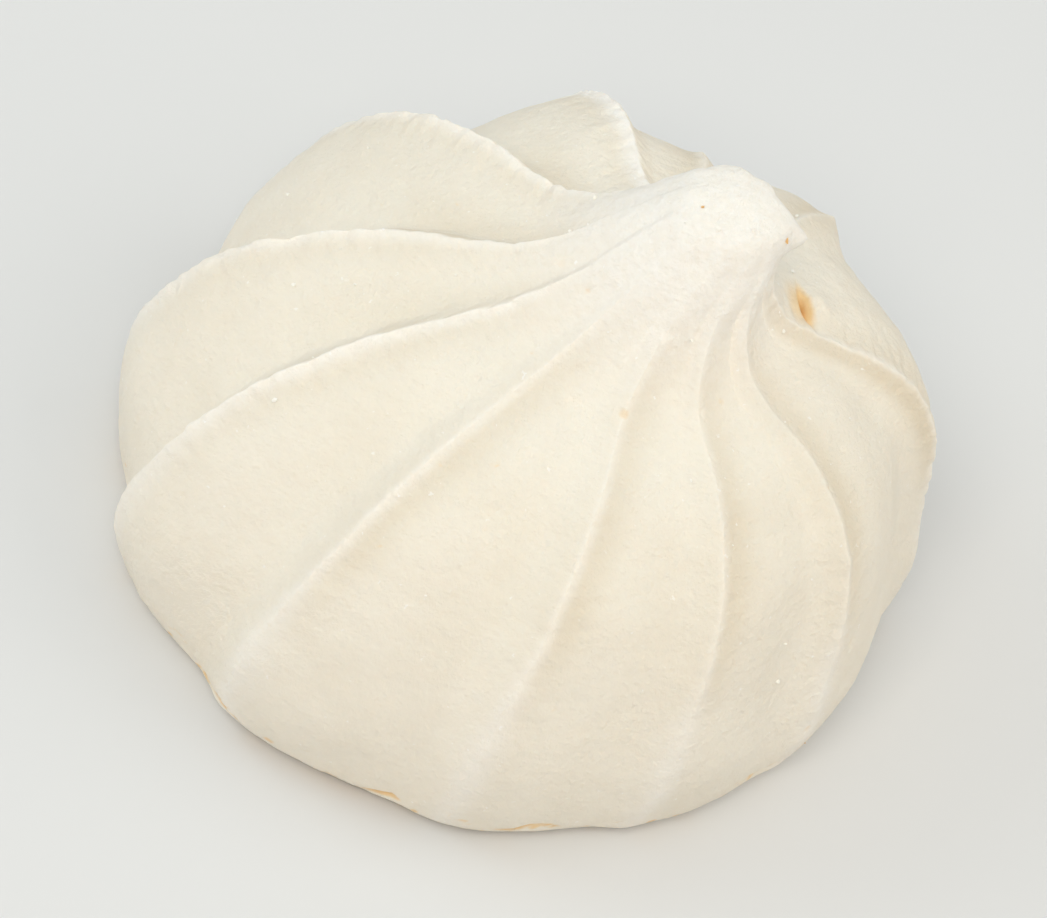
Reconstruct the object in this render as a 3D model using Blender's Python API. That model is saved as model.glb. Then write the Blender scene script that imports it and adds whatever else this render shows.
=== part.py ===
"""A meringue cookie: one kiss piped through a star nozzle, broad and domed, with a short blunt beak
that the nozzle drew out to one side.

Run with blender --background --python part.py, or from Blender's text editor. Units are metres and
+Z is up. The cookie stands on its flat underside at Z = 0, the origin is the middle of its outline on
the tray, and the beak leans towards +X.
"""

import math
from collections import namedtuple

import bmesh
import bpy
from mathutils import Vector

# Driving sizes
WIDTH = 0.050  # across opposite ridges where the cookie is widest
HEIGHT = 0.032  # from the tray to the end of the beak
TIP_OFFSET = Vector((0.0079, 0.0029))  # how far the beak's end stands off the middle of the base
LEAN_FROM = 0.25  # share of the height below which nothing leans
LEAN_CURVE = 1.5  # over 1 keeps the lean in the beak and the top of the dome
RIDGE_BOW = math.radians(3.3)  # the ridges bow sideways by this much at half height
STEEP_SHARE = 0.23  # of the way between two crests, taken by the steep flank on a crest's clockwise side
CREST_ROUNDING = 0.06  # radius of a crest's edge, as a share of its flank
STEEP_HOLLOW = 1.6  # over 1 lets the steep flank drop fast below its crest and level out in the groove
GENTLE_START = 0.8  # how fast the gentle flank falls away at its crest, against its mean slope

# Mesh density
FLANK_OFFSETS = (-1.0, -0.55, -0.2, 0.0, 0.08, 0.25, 0.5, 0.75)  # groove -1, crest 0, next groove 1
RING_SPACING = 0.0015  # along the side, from the rim to the beak's end

# The side, from the tray up. The radius is a crest's, as a share of half the width, the height is a
# share of the whole height, and groove is how far the grooves lie inside the crests, in metres.
Station = namedtuple("Station", "radius height groove")
SIDE = (
    Station(0.915, 0.000, 0.0008),  # rim on the tray
    Station(0.965, 0.045, 0.0012),
    Station(1.000, 0.190, 0.0026),  # belly
    Station(0.960, 0.370, 0.0036),
    Station(0.850, 0.540, 0.0042),  # shoulder
    Station(0.620, 0.665, 0.0038),
    Station(0.370, 0.720, 0.0018),  # foot of the beak
    Station(0.245, 0.810, 0.0008),
    Station(0.172, 0.920, 0.0003),
    Station(0.120, 0.980, 0.0001),
    Station(0.000, 1.000, 0.0000),  # end of the beak
)

# The nozzle's teeth spread unevenly as the foam settles. Each ridge has a bearing, a reach that scales
# its crest's radius, and the depth of the groove on its clockwise side, as a share of the usual one.
Ridge = namedtuple("Ridge", "bearing reach groove")
RIDGES = tuple(
    Ridge(math.radians(degrees), reach, groove)
    for degrees, reach, groove in (
        (6.5, 0.990, 0.48),
        (51.0, 0.955, 0.40),
        (79.0, 0.870, 0.22),
        (99.5, 1.000, 0.40),
        (135.5, 1.000, 1.10),
        (175.5, 1.000, 1.00),
        (206.5, 1.010, 0.95),
        (238.5, 1.000, 0.62),
        (274.0, 1.000, 0.50),
        (302.0, 0.985, 0.40),
        (329.5, 0.975, 0.34),
    )
)

MERINGUE_COLOR = (0.91, 0.84, 0.70, 1.0)


def clear_scene():
    """Removes what the startup file holds."""
    for obj in list(bpy.data.objects):
        bpy.data.objects.remove(obj)


def monotone_cubic(knots, values, x):
    """Value at x of a cubic through the knots that never overshoots them."""
    steps = [b - a for a, b in zip(knots, knots[1:])]
    slopes = [(b - a) / h for a, b, h in zip(values, values[1:], steps)]
    tangents = [slopes[0]]
    for before, after in zip(slopes, slopes[1:]):
        same_way = before * after > 0.0
        tangents.append(2.0 * before * after / (before + after) if same_way else 0.0)
    tangents.append(slopes[-1])
    i = max(k for k in range(len(steps)) if knots[k] <= x or k == 0)
    h = steps[i]
    t = (x - knots[i]) / h
    return (
        (1.0 + 2.0 * t) * (1.0 - t) ** 2 * values[i]
        + t * (1.0 - t) ** 2 * h * tangents[i]
        + t * t * (3.0 - 2.0 * t) * values[i + 1]
        + t * t * (t - 1.0) * h * tangents[i + 1]
    )


def side_stations():
    """Stations every RING_SPACING along the side, in metres, read from a smooth curve through SIDE."""
    radii = [s.radius * WIDTH / 2.0 for s in SIDE]
    heights = [s.height * HEIGHT for s in SIDE]
    grooves = [s.groove for s in SIDE]
    along = [0.0]
    for i in range(1, len(SIDE)):
        along.append(along[-1] + math.hypot(radii[i] - radii[i - 1], heights[i] - heights[i - 1]))
    count = round(along[-1] / RING_SPACING)
    reads = [along[-1] * i / count for i in range(count + 1)]
    return [
        Station(*(monotone_cubic(along, values, at) for values in (radii, heights, grooves)))
        for at in reads
    ]


def fall(offset):
    """How much of the groove's depth a flank has lost at this offset: 0 at the crest, 1 in the groove."""
    away = math.hypot(offset, CREST_ROUNDING) - CREST_ROUNDING
    away /= math.hypot(1.0, CREST_ROUNDING) - CREST_ROUNDING
    if offset < 0.0:
        return 1.0 - (1.0 - away) ** STEEP_HOLLOW
    return away * away * (3.0 - 2.0 * away) + GENTLE_START * away * (1.0 - away) ** 2


def columns():
    """(bearing, reach, fall) of each line of points that runs up the side."""
    lines = []
    for i, ridge in enumerate(RIDGES):
        before, after = RIDGES[i - 1], RIDGES[(i + 1) % len(RIDGES)]
        steep = STEEP_SHARE * ((ridge.bearing - before.bearing) % math.tau)
        gentle = (1.0 - STEEP_SHARE) * ((after.bearing - ridge.bearing) % math.tau)
        for offset in FLANK_OFFSETS:
            if offset < 0.0:
                width, neighbour, share, groove = steep, before, STEEP_SHARE, ridge.groove
            else:
                width, neighbour, share, groove = gentle, after, 1.0 - STEEP_SHARE, after.groove
            blend = math.sin(math.pi / 2.0 * share * abs(offset)) ** 2
            reach = ridge.reach + (neighbour.reach - ridge.reach) * blend
            lines.append((ridge.bearing + offset * width, reach, groove * fall(offset)))
    return lines


def lean_at(height):
    """How far the section at this height has moved off the middle of the base."""
    share = max(0.0, (height / HEIGHT - LEAN_FROM) / (1.0 - LEAN_FROM))
    return TIP_OFFSET * share**LEAN_CURVE


def section(station, lines):
    """The star-shaped outline of the cookie at one station."""
    centre = lean_at(station.height)
    bow = RIDGE_BOW * math.sin(math.pi * station.height / HEIGHT)
    points = []
    for bearing, reach, fallen in lines:
        radius = station.radius * reach - station.groove * fallen
        angle = bearing + bow
        x = centre.x + radius * math.cos(angle)
        y = centre.y + radius * math.sin(angle)
        points.append(Vector((x, y, station.height)))
    return points


def middle_of(points):
    """Middle of the points' outline, seen from above."""
    xs = [p.x for p in points]
    ys = [p.y for p in points]
    return Vector(((min(xs) + max(xs)) / 2.0, (min(ys) + max(ys)) / 2.0, 0.0))


def meringue_mesh():
    """Lofts the star-shaped sections from the rim to the beak, and closes them with a flat underside."""
    stations = side_stations()
    lines = columns()
    rings = [section(station, lines) for station in stations[:-1]]
    tip = lean_at(HEIGHT).to_3d() + Vector((0.0, 0.0, HEIGHT))
    middle = middle_of([point for ring in rings for point in ring])

    shape = bmesh.new()
    grid = [[shape.verts.new(point - middle) for point in ring] for ring in rings]
    for lower, upper in zip(grid, grid[1:]):
        for i in range(len(lower)):
            j = (i + 1) % len(lower)
            shape.faces.new((lower[i], lower[j], upper[j], upper[i]))
    peak = shape.verts.new(tip - middle)
    centre = shape.verts.new(-middle)
    for i in range(len(lines)):
        j = (i + 1) % len(lines)
        shape.faces.new((grid[-1][i], grid[-1][j], peak))
        shape.faces.new((grid[0][j], grid[0][i], centre))

    mesh = bpy.data.meshes.new("meringue")
    shape.to_mesh(mesh)
    shape.free()
    mesh.shade_smooth()
    mesh.set_sharp_from_angle(angle=math.radians(60.0))
    return mesh


def meringue_material():
    """Dry baked foam: ivory, matt and dusty."""
    material = bpy.data.materials.new("meringue")
    material.use_nodes = True
    shader = material.node_tree.nodes["Principled BSDF"]
    shader.inputs["Base Color"].default_value = MERINGUE_COLOR
    shader.inputs["Roughness"].default_value = 0.85
    shader.inputs["Metallic"].default_value = 0.0
    shader.inputs["Subsurface Weight"].default_value = 0.3
    shader.inputs["Subsurface Scale"].default_value = 0.002
    return material


def main():
    """Builds the cookie in a collection of its own."""
    clear_scene()
    collection = bpy.data.collections.new("meringue_cookie")
    bpy.context.scene.collection.children.link(collection)
    cookie = bpy.data.objects.new("meringue", meringue_mesh())
    cookie.data.materials.append(meringue_material())
    collection.objects.link(cookie)


main()
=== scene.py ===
"""The looks of one meringue cookie: a star-piped kiss of baked foam, standing on a pale table.

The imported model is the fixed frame. This file pipes the same form again with a fine skin over it, gives
it the dry, dusty finish of baked foam, and sets the table, the light and the camera. Units are metres,
+Z is up, the tray is at Z = 0 and the beak leans towards +X.
"""

from __future__ import annotations

import logging
import math
import random
from dataclasses import dataclass, field
from enum import Enum
from typing import Iterator, NamedTuple

import bmesh
import bpy
import numpy as np
from mathutils import Matrix, Vector, noise


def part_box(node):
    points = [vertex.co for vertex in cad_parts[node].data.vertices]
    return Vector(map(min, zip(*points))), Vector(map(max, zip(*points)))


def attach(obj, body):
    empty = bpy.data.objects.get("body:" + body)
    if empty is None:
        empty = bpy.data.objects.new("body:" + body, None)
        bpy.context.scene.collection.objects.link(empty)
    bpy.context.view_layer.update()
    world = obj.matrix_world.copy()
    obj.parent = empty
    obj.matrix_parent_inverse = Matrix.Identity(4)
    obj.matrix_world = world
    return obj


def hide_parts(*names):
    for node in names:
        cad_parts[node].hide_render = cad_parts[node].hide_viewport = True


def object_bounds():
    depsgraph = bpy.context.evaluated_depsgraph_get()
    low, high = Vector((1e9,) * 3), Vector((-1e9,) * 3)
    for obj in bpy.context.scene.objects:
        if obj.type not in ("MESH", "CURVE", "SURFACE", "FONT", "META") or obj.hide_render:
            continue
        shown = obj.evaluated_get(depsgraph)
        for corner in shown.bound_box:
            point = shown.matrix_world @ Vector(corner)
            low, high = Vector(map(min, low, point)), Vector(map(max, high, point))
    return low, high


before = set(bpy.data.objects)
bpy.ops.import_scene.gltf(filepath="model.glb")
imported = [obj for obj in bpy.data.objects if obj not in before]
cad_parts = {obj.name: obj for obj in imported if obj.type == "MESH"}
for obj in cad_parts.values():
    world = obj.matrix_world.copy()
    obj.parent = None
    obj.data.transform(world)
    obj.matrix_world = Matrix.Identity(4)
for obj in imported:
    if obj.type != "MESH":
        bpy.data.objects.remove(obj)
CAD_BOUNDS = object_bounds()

MM = 0.001
NODE = "meringue"
BODY = "root"

log = logging.getLogger("meringue")


class Mark(Enum):
    """The per-point values that the finish reads from a mesh."""

    CREST = "crest"
    # Shade painted into the colour: the grooves, the flanks beside the crests and the beak's root are darkened and
    # warmed.
    PAINTED_GROOVE_SHADE = "groove"
    CARAMEL = "caramel"
    UNDERSIDE = "underside"
    FLOW = "flow"


class Station(NamedTuple):
    """One level of the side: a crest's radius and the height as shares, the groove's depth in metres."""

    radius: float
    height: float
    groove: float


class Ridge(NamedTuple):
    """One ridge: its bearing in degrees, what scales its radius, its groove's share of the depth, and, from
    0 to 1, how crisp its crest stays up to the beak, how much powder that carries, and how much shade
    is painted on the steep flank just below its crest.
    """

    bearing: float
    reach: float
    groove: float
    edge: float
    powder: float
    painted_shade: float


def smooth_step(value: np.ndarray, low: float, high: float) -> np.ndarray:
    """Eases from 0 at low to 1 at high.

    Args:
        value: the numbers to ease.
        low: where the result leaves 0.
        high: where the result reaches 1. It may be below low, which turns the step round.

    Returns:
        The eased numbers, from 0 to 1.
    """
    share = np.clip((value - low) / (high - low), 0.0, 1.0)
    return share * share * (3.0 - 2.0 * share)


def foam_noise(points: np.ndarray, wavelength: float, seed: int) -> np.ndarray:
    """Smooth noise at points in space.

    Args:
        points: an array whose last axis holds x, y and z.
        wavelength: the size of its lumps, in the points' unit.
        seed: which of the endless fields to read.

    Returns:
        The noise, from about -1 to 1, in the shape of the points without their last axis.
    """
    shift = np.array((17.31, 5.17, 9.73)) * seed
    flat = points.reshape(-1, 3) / wavelength + shift
    values = np.fromiter((noise.noise(p) for p in flat.tolist()), float, len(flat))
    return 1.6 * values.reshape(points.shape[:-1])


def monotone_cubic(knots: np.ndarray, values: np.ndarray, reads: np.ndarray) -> np.ndarray:
    """Reads a cubic through the knots that never overshoots them.

    Args:
        knots: rising places of the known values.
        values: the known values.
        reads: the places to read at.

    Returns:
        The value at each read.
    """
    steps = np.diff(knots)
    slopes = np.diff(values) / steps
    product = slopes[:-1] * slopes[1:]
    total = slopes[:-1] + slopes[1:]
    inner = np.where(product > 0.0, 2.0 * product / np.where(total == 0.0, 1.0, total), 0.0)
    tangents = np.concatenate(([slopes[0]], inner, [slopes[-1]]))
    i = np.clip(np.searchsorted(knots, reads, side="right") - 1, 0, len(steps) - 1)
    h = steps[i]
    t = (reads - knots[i]) / h
    return (
        (1.0 + 2.0 * t) * (1.0 - t) ** 2 * values[i]
        + t * (1.0 - t) ** 2 * h * tangents[i]
        + t * t * (3.0 - 2.0 * t) * values[i + 1]
        + t * t * (t - 1.0) * h * tangents[i + 1]
    )


@dataclass
class Side:
    """The cookie's side, ring by ring from the rim to the beak's end. Every array has a value a ring."""

    radius: np.ndarray
    height: np.ndarray
    groove: np.ndarray
    along: np.ndarray


@dataclass
class Columns:
    """The lines of points that run up the side. Every array has a value a column."""

    bearing: np.ndarray
    reach: np.ndarray
    crisp: np.ndarray
    soft: np.ndarray
    # fallen only places the shade painted in deep grooves at the beak's root.
    fallen: np.ndarray
    edge: np.ndarray
    powder: np.ndarray
    # The weight of the shade painted under each ridge's crest.
    painted_shade: np.ndarray
    ridge: np.ndarray
    swing: np.ndarray


@dataclass
class PipedForm:
    """The form that the star nozzle leaves: star-shaped sections, lofted up a leaning side.

    Attributes:
        width: across opposite ridges where the cookie is widest, in metres.
        height: from the tray to the beak's end, in metres.
        tip_offset: how far the beak's end stands off the middle of the base, in metres.
        lean_from: share of the height below which nothing leans.
        lean_curve: over 1 keeps the lean in the beak.
        ridge_bow: how far the ridges bow sideways at half height, in degrees.
        steep_share: share of the way between two crests that the steep flank takes.
        crest_rounding: radius of a crisp crest's edge and of a soft one's, as shares of the flank.
        steep_hollow: over 1 lets the steep flank drop fast below its crest and level out in the groove.
        gentle_start: how fast the gentle flank falls away at a crisp crest and at a soft one.
        side: the levels of the side, from the rim up.
        ridges: the ridges, counter-clockwise from above.
    """

    width: float = 0.050
    height: float = 0.032
    tip_offset: tuple[float, float] = (0.0079, 0.0029)
    lean_from: float = 0.25
    lean_curve: float = 1.5
    ridge_bow: float = 3.3
    steep_share: float = 0.23
    crest_rounding: tuple[float, float] = (0.03, 0.40)
    steep_hollow: float = 1.6
    gentle_start: tuple[float, float] = (0.8, 0.2)
    side: tuple[Station, ...] = (
        Station(0.915, 0.000, 0.0008),
        Station(0.965, 0.045, 0.0012),
        Station(1.000, 0.190, 0.0026),
        Station(0.960, 0.370, 0.0036),
        Station(0.850, 0.540, 0.0042),
        Station(0.620, 0.665, 0.0038),
        Station(0.370, 0.720, 0.0018),
        Station(0.245, 0.810, 0.0008),
        Station(0.172, 0.920, 0.0003),
        Station(0.120, 0.980, 0.0001),
        Station(0.000, 1.000, 0.0000),
    )
    # The last number of each ridge weights the shade painted under its crest.
    ridges: tuple[Ridge, ...] = (
        Ridge(6.5, 0.990, 0.48, 0.80, 0.35, 1.00),
        Ridge(51.0, 0.955, 0.40, 0.25, 0.20, 0.30),
        Ridge(79.0, 0.870, 0.22, 0.35, 0.25, 0.30),
        Ridge(99.5, 1.000, 0.40, 0.85, 0.90, 0.30),
        Ridge(135.5, 1.000, 1.10, 1.00, 0.60, 0.60),
        Ridge(175.5, 1.000, 1.00, 1.00, 0.55, 1.00),
        Ridge(206.5, 1.010, 0.95, 0.85, 0.65, 0.40),
        Ridge(238.5, 1.000, 0.62, 0.30, 0.40, 0.10),
        Ridge(274.0, 1.000, 0.50, 0.25, 0.30, 0.10),
        Ridge(302.0, 0.985, 0.40, 0.15, 0.20, 0.10),
        Ridge(329.5, 0.975, 0.34, 0.15, 0.15, 0.20),
    )

    def side_rings(self, spacing: Spacing) -> Side:
        """Reads the side at rings that stand closer at the rim and in the beak.

        Args:
            spacing: how far apart the rings stand.

        Returns:
            The rings, without the last point on top.
        """
        radius = np.array([s.radius for s in self.side]) * self.width / 2.0
        height = np.array([s.height for s in self.side]) * self.height
        groove = np.array([s.groove for s in self.side])
        along = np.concatenate(([0.0], np.cumsum(np.hypot(np.diff(radius), np.diff(height)))))
        reads = spacing.rings(along[-1])
        return Side(
            radius=monotone_cubic(along, radius, reads),
            height=monotone_cubic(along, height, reads),
            groove=monotone_cubic(along, groove, reads),
            along=reads,
        )

    def fall(self, offset: np.ndarray, soft: int) -> np.ndarray:
        """How much of the groove's depth a flank has lost: 0 at the crest, 1 in the groove.

        Args:
            offset: place on the flanks, 0 at the crest and 1 or -1 in a groove.
            soft: 0 for a crisp crest and 1 for a soft one.

        Returns:
            The share of the depth.
        """
        rounding = self.crest_rounding[soft]
        away = (np.hypot(offset, rounding) - rounding) / (math.hypot(1.0, rounding) - rounding)
        steep = 1.0 - (1.0 - away) ** self.steep_hollow
        gentle = away * away * (3.0 - 2.0 * away) + self.gentle_start[soft] * away * (1.0 - away) ** 2
        return np.where(offset < 0.0, steep, gentle)

    def columns(self, spacing: Spacing) -> Columns:
        """Spreads the columns over both flanks of every ridge, closest together at the crests.

        Args:
            spacing: how many columns there are in all.

        Returns:
            The columns, counter-clockwise from the first ridge's steep groove.
        """
        parts = []
        for i, ridge in enumerate(self.ridges):
            before, after = self.ridges[i - 1], self.ridges[(i + 1) % len(self.ridges)]
            steep = self.steep_share * ((ridge.bearing - before.bearing) % 360.0)
            gentle = (1.0 - self.steep_share) * ((after.bearing - ridge.bearing) % 360.0)
            down = -spacing.flank(steep)[::-1]
            up = spacing.flank(gentle)
            for offset, width, neighbour, share, groove in (
                (down[:-1], steep, before, self.steep_share, ridge.groove),
                (up[:-1], gentle, after, 1.0 - self.steep_share, after.groove),
            ):
                blend = np.sin(math.pi / 2.0 * share * np.abs(offset)) ** 2
                parts.append(
                    (
                        np.radians(ridge.bearing + offset * width),
                        ridge.reach + (neighbour.reach - ridge.reach) * blend,
                        groove * self.fall(offset, 0),
                        groove * self.fall(offset, 1),
                        # Only the shade painted in deep grooves at the beak's root reads this.
                        np.clip(10.0 * groove - 9.0, 0.0, 1.0) * self.fall(offset, 1) ** 2,
                        np.full(len(offset), ridge.edge),
                        np.full(len(offset), ridge.powder),
                        # Each ridge's weight of the shade painted under its crest.
                        np.full(len(offset), ridge.painted_shade),
                        np.full(len(offset), float(i)),
                        np.radians(offset * width),
                    )
                )
        return Columns(*(np.concatenate(values) for values in zip(*parts)))

    def crispness(self, side: Side, columns: Columns) -> np.ndarray:
        """How crisp each crest is: soft at the rim, crisp at the belly, and only some stay so up to the beak.

        Args:
            side: the rings.
            columns: the columns.

        Returns:
            From 0, soft, to 1, crisp, for rings by columns.
        """
        share = (side.height / self.height)[:, None]
        up = smooth_step(share, 0.30, 0.70)
        kept = (0.12 + 0.88 * smooth_step(share, 0.14, 0.50)) * smooth_step(share, 0.86, 0.70)
        return (0.9 + (columns.edge - 0.9) * up) * kept

    def lean(self, height: np.ndarray) -> np.ndarray:
        """How far each section has moved off the middle of the base.

        Args:
            height: the sections' heights, in metres.

        Returns:
            An x and a y for each height.
        """
        share = np.clip((height / self.height - self.lean_from) / (1.0 - self.lean_from), 0.0, None)
        return np.array(self.tip_offset) * (share**self.lean_curve)[:, None]

    def skin(self, side: Side, columns: Columns) -> np.ndarray:
        """The points of the smooth form.

        Args:
            side: the rings.
            columns: the columns.

        Returns:
            An array of rings by columns by x, y and z.
        """
        centre = self.lean(side.height)
        bow = math.radians(self.ridge_bow) * np.sin(math.pi * side.height / self.height)
        crispness = self.crispness(side, columns)
        depth = columns.soft + (columns.crisp - columns.soft) * crispness
        radius = side.radius[:, None] * columns.reach - side.groove[:, None] * depth
        angle = columns.bearing + bow[:, None]
        x = centre[:, 0, None] + radius * np.cos(angle)
        y = centre[:, 1, None] + radius * np.sin(angle)
        z = np.broadcast_to(side.height[:, None], x.shape)
        return np.stack((x, y, z), axis=-1)


@dataclass(frozen=True)
class Spacing:
    """How densely the skin's points stand.

    Attributes:
        columns: about how many columns there are in all.
        crowding: over 1 draws the columns towards the crests.
        rim: distance between rings at the rim, in metres.
        wall: distance between rings on the upright wall.
        dome: distance between rings on the dome.
        beak: distance between rings in the beak.
        levels: where the wall, the dome and the beak begin along the side.
    """

    columns: int = 440
    crowding: float = 1.35
    rim: float = 0.20 * MM
    wall: float = 0.34 * MM
    dome: float = 0.20 * MM
    beak: float = 0.18 * MM
    levels: tuple[float, float, float] = (2.4 * MM, 11.0 * MM, 36.0 * MM)

    def rings(self, length: float) -> np.ndarray:
        """Where the rings stand along the side.

        Args:
            length: the side's length, from the rim to the beak's end.

        Returns:
            Rising distances from the rim, without the end itself.
        """
        steps = (self.rim, self.wall, self.dome, self.beak)
        marks = [0.0]
        while marks[-1] < length - self.beak:
            zone = sum(marks[-1] >= level for level in self.levels)
            marks.append(marks[-1] + steps[zone])
        return np.array(marks[:-1]) * (length - 1.6 * self.beak) / marks[-2]

    def flank(self, width: float) -> np.ndarray:
        """Offsets of the columns on one flank.

        Args:
            width: the flank's width, in degrees.

        Returns:
            Offsets from 0 at the crest to 1 in the groove.
        """
        count = max(4, round(self.columns * width / 360.0))
        return np.linspace(0.0, 1.0, count + 1) ** self.crowding


@dataclass
class Skin:
    """The form's points, and what a relief needs to know about each.

    Attributes:
        points: rings by columns by x, y and z, in metres.
        normals: the outward direction at each point.
        side: the rings.
        columns: the columns.
        height: each point's share of the whole height.
        from_crest: distance to the ridge's crest, in metres, below 0 on the steep flank.
        crispness: how crisp that crest is, from 0 to 1.
        flow: the points rolled out along the ridges, in metres, for textures that follow them.
    """

    points: np.ndarray
    normals: np.ndarray
    side: Side
    columns: Columns
    height: np.ndarray
    from_crest: np.ndarray
    crispness: np.ndarray
    flow: np.ndarray

    @classmethod
    def over(cls, form: PipedForm, spacing: Spacing, lowest: Vector, highest: Vector) -> Skin:
        """Lays the skin over a form and sets it in the frame's box.

        Args:
            form: the piped form.
            spacing: how densely its points stand.
            lowest: the lowest corner of the box.
            highest: the highest corner of the box.

        Returns:
            The skin, as wide and as high as the box.
        """
        side = form.side_rings(spacing)
        columns = form.columns(spacing)
        points = form.skin(side, columns)
        low, high = np.array(lowest), np.array(highest)
        flat_low, flat_high = points.min((0, 1)), points.max((0, 1))
        scale = (high - low)[:2] / (flat_high - flat_low)[:2]
        middle = (flat_low + flat_high)[:2] / 2.0
        points[..., :2] = (points[..., :2] - middle) * scale + (low + high)[:2] / 2.0
        points[..., 2] += low[2]
        flow = np.empty_like(points)
        flow[..., 0] = side.radius[:, None] * np.cos(columns.bearing)
        flow[..., 1] = side.radius[:, None] * np.sin(columns.bearing)
        flow[..., 2] = side.along[:, None]
        return cls(
            points=points,
            normals=grid_normals(points),
            side=side,
            columns=columns,
            height=(points[..., 2] - low[2]) / (high - low)[2],
            from_crest=side.radius[:, None] * columns.swing,
            crispness=form.crispness(side, columns),
            flow=flow,
        )

    def at(self, bearing: float, height: float) -> np.ndarray:
        """The point nearest to a place named by its bearing, in degrees, and its share of the height."""
        turn = np.radians(bearing) - self.columns.bearing
        column = int(np.argmin(np.abs(np.arctan2(np.sin(turn), np.cos(turn)))))
        ring = int(np.argmin(np.abs(self.height[:, column] - height)))
        return self.points[ring, column]


def grid_normals(points: np.ndarray) -> np.ndarray:
    """Outward directions of a closed grid of rings and columns.

    Args:
        points: rings by columns by x, y and z.

    Returns:
        A unit vector for each point.
    """
    around = np.roll(points, -1, axis=1) - np.roll(points, 1, axis=1)
    up = np.gradient(points, axis=0)
    normals = np.cross(around, up)
    return normals / np.maximum(np.linalg.norm(normals, axis=-1, keepdims=True), 1e-12)


class Relief:
    """Something that stands on the skin or is cut into it."""

    def push(self, skin: Skin) -> np.ndarray:
        """How far each point moves, as x, y and z in metres."""
        return np.zeros_like(skin.points)

    def caramel(self, skin: Skin) -> np.ndarray:
        """How much burnt sugar shows at each point, from 0 to 1."""
        return np.zeros(skin.points.shape[:-1])


@dataclass
class FoamSwell(Relief):
    """The soft lumps of foam that sagged a little before it set, each layer with its height and size."""

    layers: tuple[tuple[float, float], ...] = (
        (0.13 * MM, 5.5 * MM),
        (0.055 * MM, 1.9 * MM),
        (0.022 * MM, 0.8 * MM),
    )

    def push(self, skin: Skin) -> np.ndarray:
        """Raises and lowers the skin in broad, soft lumps with a finer orange peel on them."""
        lumps = sum(
            height * foam_noise(skin.points, size, seed) for seed, (height, size) in enumerate(self.layers, 1)
        )
        return (lumps * smooth_step(skin.height, 0.0, 0.06))[..., None] * skin.normals


@dataclass
class CrestEdge(Relief):
    """The thin, nicked edge that each of the nozzle's teeth leaves on its ridge.

    Attributes:
        lip: how far the edge stands up.
        lip_width: how far the lip reaches down the gentle flank.
        wander: how far the edge strays sideways.
        wander_length: length of one stray.
        nick_depth: depth of the deepest nicks.
        nick_length: length of a nick.
        nick_reach: how far a nick reaches from the edge.
    """

    lip: float = 0.07 * MM
    lip_width: float = 0.65 * MM
    wander: float = 0.24 * MM
    wander_length: float = 3.6 * MM
    nick_depth: float = 0.16 * MM
    nick_length: float = 0.75 * MM
    nick_reach: float = 0.45 * MM

    def fade(self, skin: Skin) -> np.ndarray:
        """How strong the edge is: full on crisp crests of the dome, gone in the rim and in the beak."""
        depth = np.clip(skin.side.groove / (2.2 * MM), 0.0, 1.0)[:, None]
        return depth * skin.crispness**1.5

    def push(self, skin: Skin) -> np.ndarray:
        """Raises the lip, lets it stray and bites nicks out of it."""
        ridge = np.broadcast_to(skin.columns.ridge * 7.7, skin.from_crest.shape)
        along = np.broadcast_to(skin.side.along[:, None], skin.from_crest.shape)
        line = np.stack((ridge * self.nick_length, along, 0.4 * skin.from_crest), axis=-1)
        nicks = np.clip(foam_noise(line, self.nick_length, 3) - 0.12, 0.0, None)
        gap = np.abs(skin.from_crest)
        width = np.where(skin.from_crest < 0.0, 0.45 * self.lip_width, self.lip_width)
        raised = self.lip * np.exp(-((gap / width) ** 2))
        bitten = self.nick_depth * nicks * np.exp(-((gap / self.nick_reach) ** 2))
        line[..., 0] = ridge * self.wander_length
        line[..., 2] = 0.0
        stray = self.wander * foam_noise(line, self.wander_length, 4)
        stray = stray * np.exp(-((gap / (3.0 * self.lip_width)) ** 2))
        sideways = np.roll(skin.points, -1, axis=1) - np.roll(skin.points, 1, axis=1)
        sideways /= np.maximum(np.linalg.norm(sideways, axis=-1, keepdims=True), 1e-12)
        fade = self.fade(skin)
        return ((raised - bitten) * fade)[..., None] * skin.normals + (stray * fade)[..., None] * sideways


@dataclass
class FlankHollow(Relief):
    """The shallow hollow that a tooth drags out beside its crest, down the gentle flank."""

    depth: float = 0.15 * MM
    reach: float = 1.2 * MM

    def push(self, skin: Skin) -> np.ndarray:
        """Hollows each gentle flank just past its crest."""
        away = np.clip(skin.from_crest, 0.0, None) / self.reach
        belt = smooth_step(skin.height, 0.30, 0.60) * smooth_step(skin.height, 0.90, 0.76)
        depth = self.depth * (1.0 + 1.3 * (1.0 - skin.columns.edge))
        return -(depth * away * np.exp(1.0 - away) * belt)[..., None] * skin.normals


@dataclass
class DragRipples(Relief):
    """Fine ripples across the ridges, where the foam was dragged past the nozzle's teeth."""

    height: float = 0.12 * MM
    pitch: float = 0.66 * MM
    stretch: float = 0.34
    reach: float = 1.8 * MM

    def push(self, skin: Skin) -> np.ndarray:
        """Ripples the flanks near the crests."""
        rolled = skin.flow * np.array((self.stretch, self.stretch, 1.0))
        ripples = foam_noise(rolled, self.pitch, 5)
        away = (skin.from_crest - 0.5 * self.reach) / self.reach
        near = np.exp(-(away**2)) * (0.3 + 0.7 * skin.crispness) * (0.4 + 0.6 * skin.columns.edge) + 0.08
        steady = smooth_step(skin.height, 0.02, 0.12) * smooth_step(skin.height, 0.97, 0.80)
        return (self.height * ripples * near * steady)[..., None] * skin.normals


class Dab(NamedTuple):
    """A round push on the skin: its bearing in degrees, its share of the height, its radius and how far it
    pushes out, in metres.
    """

    bearing: float
    height: float
    radius: float
    push: float


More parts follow.
